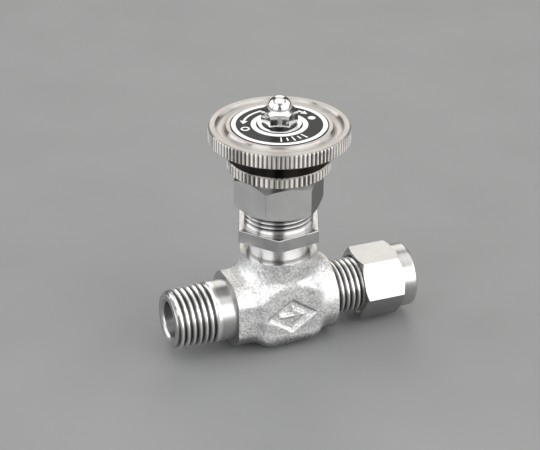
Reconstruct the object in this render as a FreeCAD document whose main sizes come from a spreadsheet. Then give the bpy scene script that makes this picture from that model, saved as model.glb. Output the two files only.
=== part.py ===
"""Straight needle valve: taper-threaded inlet, 6 mm compression outlet, knurled handwheel.

Row frame: origin at the centre of the inlet's end face, +X along the flow, +Z up the stem.
Turned pieces are drawn as (radius, height) outlines about their own Z axis. Pieces of the stem
stack stand at stem_x. Pieces of the flow line are laid over, so that their heights run along +X.
"""

import FreeCAD, Part
import math
import os
import re
import Sketcher

TURN = 360.0

SIZES = {
    # flow line, heights measured along +X from the inlet's end face
    "stem_x": 25.4,
    "inlet_face_radius": 5.83,
    "inlet_end_radius": 6.39,
    "inlet_chamfer_length": 1.1,
    "inlet_taper_angle": 1.79,
    "inlet_plain_radius": 6.72,
    "inlet_pitch": 1.337,
    "inlet_thread_depth": 0.78,
    "inlet_thread_end": 10.2,
    "inlet_mouth_radius": 4.5,
    "inlet_bore_radius": 3.8,
    "inlet_bore_end": 12.0,
    "passage_radius": 2.0,
    "drilling_radius": 1.6,
    "outlet_radius": 5.95,
    "outlet_end": 49.4,
    "outlet_chamfer": 0.8,
    "outlet_pitch": 1.25,
    "outlet_thread_depth": 0.72,
    "socket_radius": 3.05,
    "socket_start": 41.4,
    "cone_start": 47.2,
    "cone_mouth_radius": 4.2,
    # forging
    "inlet_arm_radius": 8.35,
    "inlet_arm_start": 13.4,
    "inlet_arm_flats": 15.0,
    "outlet_arm_radius": 8.2,
    "outlet_arm_end": 36.4,
    "boss_radius": 8.27,
    "boss_top": 12.49,
    "block_width": 12.8,
    "block_depth": 16.8,
    "block_bottom": -8.2,
    "foot_length": 9.6,
    "foot_depth": 12.8,
    "foot_bottom": -8.5,
    "block_top": 5.6,
    "block_round": 2.2,
    "mark_half_width": 5.0,
    "mark_half_height": 3.5,
    "mark_depth": 0.5,
    # inside the body, heights up the stem axis
    "seat_height": -1.5,
    "seat_radius": 1.6,
    "seat_drill_bottom": -6.2,
    "chamber_radius": 3.4,
    "ledge_height": 4.0,
    "bonnet_bore_radius": 5.95,
    # bonnet
    "bonnet_bottom": 5.0,
    "bonnet_shank_radius": 5.9,
    "neck_radius": 6.38,
    "wrench_flats": 17.0,
    "flange_bottom": 16.24,
    "flange_top": 19.14,
    "hexagon_edge_round": 0.16,
    "bonnet_thread_radius": 7.4,
    "bonnet_pitch": 1.0,
    "bonnet_thread_depth": 0.6,
    "bonnet_top": 28.0,
    "back_seat_radius": 4.4,
    "back_seat_height": 11.5,
    "stem_thread_hole": 3.55,
    "packing_floor": 19.0,
    "packing_hole": 5.0,
    # stem and needle
    "stem_bottom": 4.5,
    "collar_radius": 4.1,
    "collar_top": 7.2,
    "stem_thread_radius": 3.5,
    "stem_thread_top": 15.5,
    "stem_radius": 3.0,
    "square_bottom": 35.0,
    "square_flats": 4.4,
    "square_top": 41.0,
    "stem_end_radius": 1.97,
    "stem_top": 45.7,
    "stem_top_chamfer": 0.3,
    "swivel_bore": 1.46,
    "swivel_bore_top": 8.6,
    "swivel_groove": 1.95,
    "needle_radius": 2.4,
    "needle_shank": 1.4,
    "needle_neck": 1.05,
    "needle_end": -4.2,
    "ring_floor": 6.3,
    "ring_roof": 6.9,
    # packing and gland
    "base_washer_top": 19.8,
    "packing_height": 1.75,
    "running_gap": 0.05,
    "follower_foot": 25.1,
    "follower_flange_radius": 6.9,
    "follower_flange_bottom": 28.4,
    "follower_top": 29.3,
    "gland_nut_bottom": 23.0,
    "gland_nut_top": 30.5,
    "gland_nut_bore": 7.5,
    # knurled ring and handwheel
    "lock_ring_radius": 11.0,
    "lock_ring_bottom": 31.84,
    "lock_ring_top": 34.37,
    "wheel_radius": 15.0,
    "wheel_bottom": 38.25,
    "wheel_top": 41.5,
    "wheel_web_bottom": 39.6,
    "wheel_floor": 41.2,
    "wheel_skirt_radius": 12.6,
    "wheel_hub_radius": 5.5,
    "wheel_edge_round": 0.55,
    "channel_radius": 12.35,
    "channel_width": 2.4,
    "channel_depth": 0.7,
    "knurl_depth": 0.27,
    "knurled_edge_chamfer": 0.3,
    # plate, washers and acorn nut
    "plate_radius": 10.25,
    "plate_gap": 0.17,
    "plate_hole": 2.3,
    "plate_top": 41.6,
    "washer_radius": 4.65,
    "washer_top": 42.0,
    "spring_washer_radius": 3.65,
    "spring_washer_top": 42.3,
    "bolt_hole": 2.15,
    "cap_flats": 6.7,
    "cap_foot_radius": 3.7,
    "cap_foot_bevel": 0.12,
    "cap_shoulder_rise": 0.75,
    "dome_radius": 2.55,
    "dome_bottom": 45.5,
    "cap_top": 48.05,
    "cap_bore": 2.02,
    "cap_bore_top": 46.1,
    # tube nut and ferrules, heights along +X
    "tube_nut_flats": 14.0,
    "tube_nut_start": 43.3,
    "tube_nut_hex_end": 52.75,
    "tube_nut_end": 55.8,
    "tube_nut_bore": 6.05,
    "tube_nut_bore_end": 50.2,
    "tube_nut_cavity": 5.0,
    "tube_nut_cavity_end": 52.3,
    "tube_nut_hole": 3.25,
    "collar_round": 0.5,
    "ferrule_bore": 3.08,
    "front_ferrule_start": 48.0,
    "front_ferrule_end": 50.9,
    "back_ferrule_start": 51.0,
    "back_ferrule_end": 52.2,
    "ferrule_radius": 4.6,
    "ferrule_nose": 0.27,
    "ferrule_relief": 0.12,
    "ferrule_shoulder": 0.8,
    "ferrule_heel": 0.6,
    # small clearances, lead-ins and reliefs
    "bore_lead": 0.4,
    "cap_gap": 0.05,
    "clip_gap": 0.1,
    "clip_slot": 0.6,
    "gland_hole_gap": 0.3,
    "groove_clearance": 0.02,
    "lock_ring_gap": 0.07,
    "spring_washer_slot": 0.5,
    "square_gap": 0.05,
    "tube_nut_bevel": 0.45,
    "tube_nut_neck_bevel": 0.7,
    "tube_nut_neck_gap": 0.02,
    "overlap": 1.0,
}

WHEEL_TEETH = 100
LOCK_RING_TEETH = 64
PACKING_RINGS = 3

# the way each hexagon stands, in degrees about its own axis from a corner on +X
FLANGE_TURN = 7.9
GLAND_NUT_TURN = -8.8
ACORN_TURN = 37.4
TUBE_NUT_TURN = 33.2

# a hexagon's corner radius, and the radius where its end bevel starts, as shares of its
# width across flats
CORNER = "0.57735"
BEVEL_START = "0.48"

# an end bevel's height for each millimetre of radius it takes, at 30 degrees
BEVEL_SLOPE = "0.577"

# a drill point's height, as a share of the drill's radius
DRILL_POINT = "0.58"

# a thread groove's half widths at its mouth and root, and how far its form stands out of the
# bar, as shares of the pitch
GROOVE_MOUTH = 0.46
GROOVE_ROOT = 0.05
GROOVE_RISE = 0.1

# the share of a knurl's pitch that each groove takes
KNURL_SHARE = 0.86

doc = FreeCAD.newDocument("needle_valve")
sheet = doc.addObject("Spreadsheet::Sheet", "dims")
for row, (alias, value) in enumerate(SIZES.items(), start=1):
    sheet.set("A%d" % row, alias)
    sheet.set("B%d" % row, str(value))
    sheet.setAlias("B%d" % row, alias)
doc.recompute()


def size(alias):
    """The value of one cell of the sheet, in millimetres."""
    return float(sheet.get(alias))


def bound(text):
    """An expression on the sheet's cells, from the same expression with bare names."""
    return re.sub(r"\b[a-z][a-z_]*\b(?!\()", r"dims.\g<0>", str(text))


def plane(body, role):
    """One of a body's own origin planes or axes."""
    return next(item for item in body.Origin.OriginFeatures if item.Role == role)


def new_sketch(body, name, role):
    sketch = body.newObject("Sketcher::SketchObject", name)
    sketch.AttachmentSupport = [(plane(body, role), "")]
    sketch.MapMode = "FlatFace"
    return sketch


def draw_loop(sketch, points):
    """A closed polygon whose every corner is held by two expressions."""
    first = sketch.GeometryCount
    count = len(points)
    for number in range(count):
        start = FreeCAD.Vector(1 + number, number * number, 0)
        end = FreeCAD.Vector(2 + number, (number + 1) * (number + 1), 0)
        sketch.addGeometry(Part.LineSegment(start, end))
    for number in range(count):
        following = first + (number + 1) % count
        sketch.addConstraint(Sketcher.Constraint("Coincident", first + number, 2, following, 1))
    for number, corner in enumerate(points):
        for kind, text in zip(("DistanceX", "DistanceY"), corner):
            index = sketch.addConstraint(
                Sketcher.Constraint(kind, -1, 1, first + number, 1, 1.0 + number)
            )
            sketch.setExpression("Constraints[%d]" % index, bound(text))


def turned(name, outline):
    """A body of revolution about its own Z axis, from a closed (radius, height) outline."""
    body = doc.addObject("PartDesign::Body", name)
    body.Label = name
    sketch = new_sketch(body, name + "_outline", "XZ_Plane")
    draw_loop(sketch, outline)
    feature = body.newObject("PartDesign::Revolution", name + "_turning")
    feature.Profile = sketch
    feature.ReferenceAxis = (sketch, ["V_Axis"])
    feature.Angle = TURN
    doc.recompute()
    return body


def cut_smaller(body, before, what):
    """Stops the run if a cut took nothing away."""
    doc.recompute()
    if not body.Shape.Volume < before - 1e-6:
        raise RuntimeError("%s cut nothing from %s" % (what, body.Label))


def polygon_corners(flats, sides, turn=0.0):
    """Corners of a regular polygon of the given width across flats, as expressions."""
    corners = []
    for number in range(sides):
        angle = math.radians(turn + TURN * number / sides)
        factor = 0.5 / math.cos(math.pi / sides)
        corners.append(
            (
                "%s * %.6f" % (flats, factor * math.cos(angle)),
                "%s * %.6f" % (flats, factor * math.sin(angle)),
            )
        )
    return corners


def cut_flats(body, flats, sides, bottom, top, turn=0.0):
    """Flats of a regular polygon on a turned body, from one height to another."""
    before = body.Shape.Volume
    sketch = new_sketch(body, body.Label + "_flats", "XY_Plane")
    sketch.AttachmentOffset = FreeCAD.Placement()
    sketch.setExpression("AttachmentOffset.Base.z", bound(bottom))
    draw_loop(sketch, polygon_corners(flats, sides, turn))
    rim = sketch.addGeometry(Part.Circle(FreeCAD.Vector(), FreeCAD.Vector(0, 0, 1), size(flats)))
    sketch.addConstraint(Sketcher.Constraint("Coincident", rim, 3, -1, 1))
    index = sketch.addConstraint(Sketcher.Constraint("Radius", rim, size(flats)))
    sketch.setExpression("Constraints[%d]" % index, bound(flats))
    pocket = body.newObject("PartDesign::Pocket", body.Label + "_flatting")
    pocket.Profile = sketch
    pocket.Reversed = True
    pocket.setExpression("Length", bound("(%s) - (%s)" % (top, bottom)))
    cut_smaller(body, before, "the flats")


def cut_thread(body, radius, depth, pitch, start, length, angle="0"):
    """A right-hand helical V groove in a turned body's outside."""
    before = body.Shape.Volume
    sketch = new_sketch(body, body.Label + "_thread_form", "XZ_Plane")
    mouth = "%s + %g * %s" % (radius, GROOVE_RISE, pitch)
    root = "%s - %s" % (radius, depth)
    draw_loop(
        sketch,
        [
            (mouth, "%s - %g * %s" % (start, GROOVE_MOUTH, pitch)),
            (mouth, "%s + %g * %s" % (start, GROOVE_MOUTH, pitch)),
            (root, "%s + %g * %s" % (start, GROOVE_ROOT, pitch)),
            (root, "%s - %g * %s" % (start, GROOVE_ROOT, pitch)),
        ],
    )
    groove = body.newObject("PartDesign::SubtractiveHelix", body.Label + "_thread")
    groove.Profile = sketch
    groove.ReferenceAxis = (sketch, ["V_Axis"])
    groove.Mode = 0
    groove.setExpression("Pitch", bound(pitch))
    groove.setExpression("Height", bound(length))
    groove.setExpression("Angle", bound(angle))
    cut_smaller(body, before, "the thread")


def cut_knurl(body, radius, teeth):
    """Straight V grooves parallel to the axis, all round a turned body."""
    before = body.Shape.Volume
    sketch = new_sketch(body, body.Label + "_knurl_form", "XY_Plane")
    half = "%s * %.6f" % (radius, KNURL_SHARE * math.pi / teeth)
    draw_loop(
        sketch,
        [
            ("%s - knurl_depth" % radius, "0"),
            ("%s + groove_clearance" % radius, "-1 * %s" % half),
            ("%s + groove_clearance" % radius, half),
        ],
    )
    groove = body.newObject("PartDesign::Pocket", body.Label + "_knurl_groove")
    groove.Profile = sketch
    groove.Type = "ThroughAll"
    groove.Midplane = True
    cut_smaller(body, before, "the knurl groove")
    before = body.Shape.Volume
    ring = body.newObject("PartDesign::PolarPattern", body.Label + "_knurl")
    ring.Originals = [groove]
    ring.Axis = (sketch, ["N_Axis"])
    ring.Angle = TURN
    ring.Occurrences = teeth
    body.Tip = ring
    cut_smaller(body, before, "the knurl")


def round_circles(body, radius, circles):
    """Rounds the circular edges of a turned body that have the given (radius, height) pairs."""
    names = []
    for number, edge in enumerate(body.Shape.Edges, start=1):
        if not isinstance(edge.Curve, Part.Circle):
            continue
        for edge_radius, height in circles:
            same_radius = abs(edge.Curve.Radius - edge_radius) < 1e-3
            same_height = abs(edge.Curve.Center.z - height) < 1e-3
            if same_radius and same_height:
                names.append("Edge%d" % number)
    base = body.Tip
    feature = body.newObject("PartDesign::Fillet", body.Label + "_rounding")
    feature.Base = (base, names)
    feature.setExpression("Radius", bound(radius))
    doc.recompute()


def round_straight_edges(body, radius):
    """Breaks every straight edge of a turned body that has had flats cut on it."""
    names = [
        "Edge%d" % number
        for number, edge in enumerate(body.Shape.Edges, start=1)
        if isinstance(edge.Curve, Part.Line)
    ]
    base = body.Tip
    feature = body.newObject("PartDesign::Fillet", body.Label + "_edge_rounding")
    feature.Base = (base, names)
    feature.setExpression("Radius", bound(radius))
    doc.recompute()


def on_stem(*pieces):
    """Stands pieces on the stem axis."""
    for piece in pieces:
        piece.setExpression("Placement.Base.x", "dims.stem_x")


def along_flow(*pieces):
    """Lays turned pieces over, so that their own Z axis is the row's +X axis."""
    for piece in pieces:
        piece.Placement = FreeCAD.Placement(
            FreeCAD.Vector(), FreeCAD.Rotation(FreeCAD.Vector(0, 1, 0), 90)
        )


def primitive(kind, name, sizes, base=(0, 0, 0), axis=(0, 0, 1)):
    """A Part primitive with its sizes and its base point bound to the sheet."""
    item = doc.addObject("Part::" + kind, name)
    item.Placement = FreeCAD.Placement(
        FreeCAD.Vector(), FreeCAD.Rotation(FreeCAD.Vector(0, 0, 1), FreeCAD.Vector(*axis))
    )
    for key, text in sizes.items():
        item.setExpression(key, bound(text))
    for letter, text in zip("xyz", base):
        item.setExpression("Placement.Base." + letter, bound(text))
    return item


def joined(kind, name, pieces):
    """A Part boolean: Fuse and Common of many pieces, or Cut of the second from the first."""
    result = doc.addObject("Part::" + kind, name)
    if kind == "Cut":
        result.Base, result.Tool = pieces
    else:
        result.Shapes = pieces
    doc.recompute()
    return result


def make_forging():
    """The rough forging: two arms, the top boss and the square middle on its flat foot."""
    inlet_arm = joined(
        "MultiCommon",
        "inlet_arm",
        [
            primitive(
                "Cylinder",
                "inlet_arm_round",
                {"Radius": "inlet_arm_radius", "Height": "stem_x - inlet_arm_start"},
                ("inlet_arm_start", "0", "0"),
                (1, 0, 0),
            ),
            primitive(
                "Box",
                "inlet_arm_square",
                {
                    "Length": "stem_x",
                    "Width": "inlet_arm_flats",
                    "Height": "inlet_arm_flats",
                },
                ("inlet_arm_start", "-0.5 * inlet_arm_flats", "-0.5 * inlet_arm_flats"),
            ),
        ],
    )
    outlet_arm = primitive(
        "Cylinder",
        "outlet_arm",
        {"Radius": "outlet_arm_radius", "Height": "outlet_arm_end - stem_x"},
        ("stem_x", "0", "0"),
        (1, 0, 0),
    )
    boss = primitive(
        "Cylinder",
        "top_boss",
        {"Radius": "boss_radius", "Height": "boss_top"},
        ("stem_x", "0", "0"),
    )
    block = primitive(
        "Box",
        "middle_block",
        {
            "Length": "block_width",
            "Width": "block_depth",
            "Height": "block_top - block_bottom",
        },
        ("stem_x - 0.5 * block_width", "-0.5 * block_depth", "block_bottom"),
    )
    doc.recompute()
    rounded_block = doc.addObject("Part::Fillet", "rounded_block")
    rounded_block.Base = block
    blend = size("block_round")
    rounded_block.Edges = [(number, blend, blend) for number in range(1, 13)]
    doc.recompute()
    foot = primitive(
        "Box",
        "foot",
        {
            "Length": "foot_length",
            "Width": "foot_depth",
            "Height": "block_round",
        },
        ("stem_x - 0.5 * foot_length", "-0.5 * foot_depth", "foot_bottom"),
    )
    return joined("MultiFuse", "forging", [inlet_arm, outlet_arm, boss, rounded_block, foot])


def make_mark():
    """The sunk diamond on the front of the middle block, with a plain raised flow arrow in it."""
    body = doc.addObject("PartDesign::Body", "mark")
    sketch = new_sketch(body, "mark_outline", "XZ_Plane")
    wide = "mark_half_width"
    tall = "mark_half_height"
    draw_loop(sketch, [(wide, "0"), ("0", tall), ("-1 * " + wide, "0"), ("0", "-1 * " + tall)])
    tip = "0.52 * mark_half_width"
    neck = "0.08 * mark_half_width"
    draw_loop(
        sketch,
        [
            (tip, "0"),
            (neck, "0.4 * mark_half_height"),
            (neck, "0.14 * mark_half_height"),
            ("-1 * " + tip, "0.14 * mark_half_height"),
            ("-1 * " + tip, "-0.14 * mark_half_height"),
            (neck, "-0.14 * mark_half_height"),
            (neck, "-0.4 * mark_half_height"),
        ],
    )
    pad = body.newObject("PartDesign::Pad", "mark_pad")
    pad.Profile = sketch
    pad.setExpression("Length", bound("2 * mark_depth"))
    pad.Midplane = True
    body.setExpression("Placement.Base.x", "dims.stem_x")
    body.setExpression("Placement.Base.y", bound("-0.5 * block_depth"))
    return body


def make_valve_body():
    """The forging with its threaded ends, bores, seat and bonnet socket."""
    inlet_end = turned(
        "inlet_end",
        [
            ("0", "0"),
            ("inlet_face_radius", "0"),
            ("inlet_end_radius", "inlet_chamfer_length"),
            ("inlet_plain_radius", "inlet_thread_end"),
            ("inlet_plain_radius", "inlet_arm_start + overlap"),
            ("0", "inlet_arm_start + overlap"),
        ],
    )
    cut_thread(
        inlet_end,
        "inlet_end_radius - 0.04",
        "inlet_thread_depth",
        "inlet_pitch",
        "-1.3 * inlet_pitch",
        "inlet_thread_end + 0.77 * inlet_pitch",
        "inlet_taper_angle",
    )
    outlet_end = turned(
        "outlet_end_stub",
        [
            ("0", "outlet_arm_end - overlap"),
            ("outlet_radius", "outlet_arm_end - overlap"),
            ("outlet_radius", "outlet_end - outlet_chamfer"),
            ("outlet_radius - outlet_chamfer", "outlet_end"),
            ("0", "outlet_end"),
        ],
    )
    cut_thread(
        outlet_end,
        "outlet_radius",
        "outlet_thread_depth",
        "outlet_pitch",
        "outlet_arm_end + 0.6",
        "outlet_end - outlet_arm_end + outlet_pitch",
    )
    along_flow(inlet_end, outlet_end)
    solid = joined("MultiFuse", "solid_body", [make_forging(), inlet_end, outlet_end])

    inlet_bore = turned(
        "inlet_bore",
        [
            ("0", "-1 * overlap"),
            ("inlet_mouth_radius + bore_lead", "-1 * overlap"),
            ("inlet_mouth_radius", "0"),
            ("inlet_bore_radius", "inlet_mouth_radius - inlet_bore_radius"),
            ("inlet_bore_radius", "inlet_bore_end"),
            ("0", "inlet_bore_end + %s * inlet_bore_radius" % DRILL_POINT),
        ],
    )
    outlet_bore = turned(
        "outlet_bore",
        [
            ("0", "stem_x"),
            ("passage_radius", "stem_x"),
            ("passage_radius", "socket_start"),
            ("socket_radius", "socket_start"),
            ("socket_radius", "cone_start"),
            ("cone_mouth_radius", "outlet_end"),
            ("cone_mouth_radius", "outlet_end + overlap"),
            ("0", "outlet_end + overlap"),
        ],
    )
    along_flow(inlet_bore, outlet_bore)
    stem_bore = turned(
        "stem_bore",
        [
            ("0", "seat_drill_bottom - %s * seat_radius" % DRILL_POINT),
            ("seat_radius", "seat_drill_bottom"),
            ("seat_radius", "seat_height"),
            ("chamber_radius", "seat_height"),
            ("chamber_radius", "ledge_height"),
            ("bonnet_bore_radius", "ledge_height"),
            ("bonnet_bore_radius", "boss_top + overlap"),
            ("0", "boss_top + overlap"),
        ],
    )
    on_stem(stem_bore)
    run = size("stem_x") - size("inlet_bore_end")
    drop = size("seat_drill_bottom")
    drilling = primitive(
        "Cylinder",
        "sloped_drilling",
        {
            "Radius": "drilling_radius",
            "Height": "sqrt((stem_x - inlet_bore_end) ^ 2 + seat_drill_bottom ^ 2)",
        },
        ("inlet_bore_end", "0", "0"),
        (run, 0, drop),
    )
    tools = joined(
        "MultiFuse", "openings", [inlet_bore, outlet_bore, stem_bore, drilling, make_mark()]
    )
    joined("Cut", "valve_body", [solid, tools])


def make_bonnet():
    """Screwed into the body: hexagon flange, packing box, stem thread and gland thread."""
    corner = CORNER + " * wrench_flats + groove_clearance / 2"
    bonnet = turned(
        "bonnet",
        [
            ("back_seat_radius", "bonnet_bottom"),
            ("bonnet_shank_radius", "bonnet_bottom"),
            ("bonnet_shank_radius", "boss_top"),
            ("neck_radius", "boss_top"),
            ("neck_radius", "flange_bottom"),
            (corner, "flange_bottom"),
            (corner, "flange_top"),
            ("bonnet_thread_radius", "flange_top"),
            ("bonnet_thread_radius", "bonnet_top - bonnet_thread_depth"),
            ("bonnet_thread_radius - bonnet_thread_depth", "bonnet_top"),
            ("packing_hole", "bonnet_top"),
            ("packing_hole", "packing_floor"),
            ("stem_thread_hole", "packing_floor"),
            ("stem_thread_hole", "back_seat_height + 0.8"),
            ("back_seat_radius", "back_seat_height"),
        ],
    )
    cut_flats(bonnet, "wrench_flats", 6, "flange_bottom", "flange_top", FLANGE_TURN)
    round_straight_edges(bonnet, "hexagon_edge_round")
    cut_thread(
        bonnet,
        "bonnet_thread_radius",
        "bonnet_thread_depth",
        "bonnet_pitch",
        "flange_top + 0.5 * bonnet_pitch",
        "bonnet_top - flange_top",
    )


def ring(name, inner, outer, bottom, top):
    """A plain ring with a rectangular section."""
    return turned(name, [(inner, bottom), (outer, bottom), (outer, top), (inner, top)])


def make_packing():
    """Base washer, packing rings and gland follower in the bonnet's packing box."""
    bore = "stem_radius + running_gap"
    outside = "packing_hole - running_gap"
    ring("packing_base_washer", bore, outside, "packing_floor", "base_washer_top")
    for number in range(PACKING_RINGS):
        bottom = "base_washer_top + %d * packing_height" % number
        top = bottom + " + packing_height"
        ring("packing_ring_%d" % (number + 1), bore, outside, bottom, top)
    turned(
        "gland_follower",
        [
            (bore, "follower_foot"),
            (outside, "follower_foot"),
            (outside, "follower_flange_bottom"),
            ("follower_flange_radius", "follower_flange_bottom"),
            ("follower_flange_radius", "follower_top"),
            (bore, "follower_top"),
        ],
    )


def make_gland_nut():
    """Tall hexagon cap nut over the bonnet's thread, chamfered at both ends."""
    corner = CORNER + " * wrench_flats"
    bevel_radius = BEVEL_START + " * wrench_flats"
    bevel_height = "%s * (%s - %s)" % (BEVEL_SLOPE, corner, bevel_radius)
    nut = turned(
        "gland_nut",
        [
            ("gland_nut_bore + bore_lead", "gland_nut_bottom"),
            (bevel_radius, "gland_nut_bottom"),
            (corner, "gland_nut_bottom + " + bevel_height),
            (corner, "gland_nut_top - " + bevel_height),
            (bevel_radius, "gland_nut_top"),
            ("stem_radius + gland_hole_gap", "gland_nut_top"),
            ("stem_radius + gland_hole_gap", "follower_top + cap_gap"),
            ("gland_nut_bore", "follower_top + cap_gap"),
            ("gland_nut_bore", "gland_nut_bottom + bore_lead"),
        ],
    )
    cut_flats(nut, "wrench_flats", 6, "gland_nut_bottom", "gland_nut_top", GLAND_NUT_TURN)
    round_straight_edges(nut, "hexagon_edge_round")


def make_stem():
    """Back-seat collar, lifting thread, smooth packing length, square and nut thread."""
    stem = turned(
        "stem",
        [
            ("swivel_bore", "stem_bottom"),
            ("collar_radius", "stem_bottom"),
            ("collar_radius", "collar_top"),
            ("stem_thread_radius", "collar_top + 0.6"),
            ("stem_thread_radius", "stem_thread_top"),
            ("stem_radius", "stem_thread_top + 0.3"),
            ("stem_radius", "square_top"),
            ("stem_end_radius", "square_top"),
            ("stem_end_radius", "stem_top - stem_top_chamfer"),
            ("stem_end_radius - stem_top_chamfer", "stem_top"),
            ("0", "stem_top"),
            ("0", "swivel_bore_top + 0.5 * swivel_bore"),
            ("swivel_bore", "swivel_bore_top"),
            ("swivel_bore", "ring_roof + clip_gap"),
            ("swivel_groove", "ring_roof + clip_gap"),
            ("swivel_groove", "ring_floor - clip_gap"),
            ("swivel_bore", "ring_floor - clip_gap"),
        ],
    )
    cut_flats(stem, "square_flats", 4, "square_bottom", "square_top", 45)


def make_needle():
    """The tip that closes the seat without turning, and the split ring that holds it."""
    turned(
        "needle_tip",
        [
            ("0", "needle_end"),
            ("0.4", "needle_end"),
            ("seat_radius - 0.05", "seat_height"),
            ("needle_radius", "seat_height + 2"),
            ("needle_radius", "stem_bottom - clip_gap"),
            ("needle_shank", "stem_bottom - clip_gap"),
            ("needle_shank", "ring_floor"),
            ("needle_neck", "ring_floor"),
            ("needle_neck", "ring_roof"),
            ("needle_shank", "ring_roof"),
            ("needle_shank", "swivel_bore_top - 2 * clip_gap"),
            ("0", "swivel_bore_top - 2 * clip_gap"),
        ],
    )
    clip = ring(
        "needle_retaining_ring",
        "needle_neck + 0.03",
        "swivel_groove - 0.12",
        "ring_floor + 0.5 * clip_gap",
        "ring_roof - 0.5 * clip_gap",
    )
    cut_slot(clip, "clip_slot", "ring_floor", "ring_roof")


def cut_slot(body, width, bottom, top):
    """A radial slot through one side of a ring, which makes it a split ring."""
    before = body.Shape.Volume
    sketch = new_sketch(body, body.Label + "_slot_form", "XY_Plane")
    sketch.setExpression("AttachmentOffset.Base.z", bound(bottom))
    half = "0.5 * (%s)" % width
    draw_loop(
        sketch,
        [("0", "-1 * " + half), ("wheel_radius", "-1 * " + half), ("wheel_radius", half), ("0", half)],
    )
    slot = body.newObject("PartDesign::Pocket", body.Label + "_slot")
    slot.Profile = sketch
    slot.Reversed = True
    slot.setExpression("Length", bound("(%s) - (%s)" % (top, bottom)))
    cut_smaller(body, before, "the slot")


def make_lock_ring():
    """Small knurled ring on the stem, above the gland nut."""
    ring_body = turned(
        "lock_ring",
        [
            ("stem_radius + lock_ring_gap", "lock_ring_bottom"),
            ("lock_ring_radius - knurled_edge_chamfer", "lock_ring_bottom"),
            ("lock_ring_radius", "lock_ring_bottom + knurled_edge_chamfer"),
            ("lock_ring_radius", "lock_ring_top - knurled_edge_chamfer"),
            ("lock_ring_radius - knurled_edge_chamfer", "lock_ring_top"),
            ("stem_radius + lock_ring_gap", "lock_ring_top"),
        ],
    )
    cut_knurl(ring_body, "lock_ring_radius", LOCK_RING_TEETH)


def make_handwheel():
    """Knurled rim, dished channel, seat for the plate, and a hub with a square hole."""
    wheel = turned(
        "wheel_blank",
        [
            ("0", "square_bottom"),
            ("wheel_hub_radius", "square_bottom"),
            ("wheel_hub_radius", "wheel_web_bottom"),
            ("wheel_skirt_radius", "wheel_web_bottom"),
            ("wheel_skirt_radius + bore_lead", "wheel_bottom"),
            ("wheel_radius - knurled_edge_chamfer", "wheel_bottom"),
            ("wheel_radius", "wheel_bottom + knurled_edge_chamfer"),
            ("wheel_radius", "wheel_top"),
            ("plate_radius + plate_gap", "wheel_top"),
            ("plate_radius + plate_gap", "wheel_floor"),
            ("0", "wheel_floor"),
        ],
    )
    round_circles(wheel, "wheel_edge_round", [(size("wheel_radius"), size("wheel_top"))])
    cut_knurl(wheel, "wheel_radius", WHEEL_TEETH)
    channel = primitive(
        "Torus",
        "wheel_channel",
        {
            "Radius1": "channel_radius",
            "Radius2": "(channel_width ^ 2 / 4 + channel_depth ^ 2) / (2 * channel_depth)",
        },
        (
            "0",
            "0",
            "wheel_top + (channel_width ^ 2 / 4 + channel_depth ^ 2) / (2 * channel_depth)"
            " - channel_depth",
        ),
    )
    hole = primitive(
        "Box",
        "wheel_square_hole",
        {
            "Length": "square_flats + 2 * square_gap",
            "Width": "square_flats + 2 * square_gap",
            "Height": "wheel_top - square_bottom + 2 * overlap",
        },
        (
            "-0.5 * square_flats - square_gap",
            "-0.5 * square_flats - square_gap",
            "square_bottom - overlap",
        ),
    )
    tools = joined("MultiFuse", "wheel_cuts", [channel, hole])
    joined("Cut", "handwheel", [wheel, tools])


def make_top_stack():
    """Name plate, plain washer, spring washer and acorn nut."""
    ring("name_plate", "plate_hole", "plate_radius", "wheel_floor", "plate_top")
    ring("plain_washer", "bolt_hole", "washer_radius", "plate_top", "washer_top")
    spring = ring(
        "spring_washer", "bolt_hole", "spring_washer_radius", "washer_top", "spring_washer_top"
    )
    cut_slot(spring, "spring_washer_slot", "washer_top", "spring_washer_top")
    corner = CORNER + " * cap_flats"
    cap = turned(
        "acorn_nut",
        [
            ("cap_bore", "spring_washer_top"),
            ("cap_foot_radius", "spring_washer_top"),
            (corner, "spring_washer_top + cap_foot_bevel"),
            (corner, "dome_bottom - cap_shoulder_rise"),
            ("dome_radius", "dome_bottom"),
            ("dome_radius", "cap_top"),
            ("0", "cap_top"),
            ("0", "cap_bore_top + 0.5"),
            ("cap_bore", "cap_bore_top"),
        ],
    )
    cut_flats(cap, "cap_flats", 6, "spring_washer_top", "dome_bottom", ACORN_TURN)
    round_circles(cap, "dome_radius - 0.06", [(size("dome_radius"), size("cap_top"))])


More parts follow.
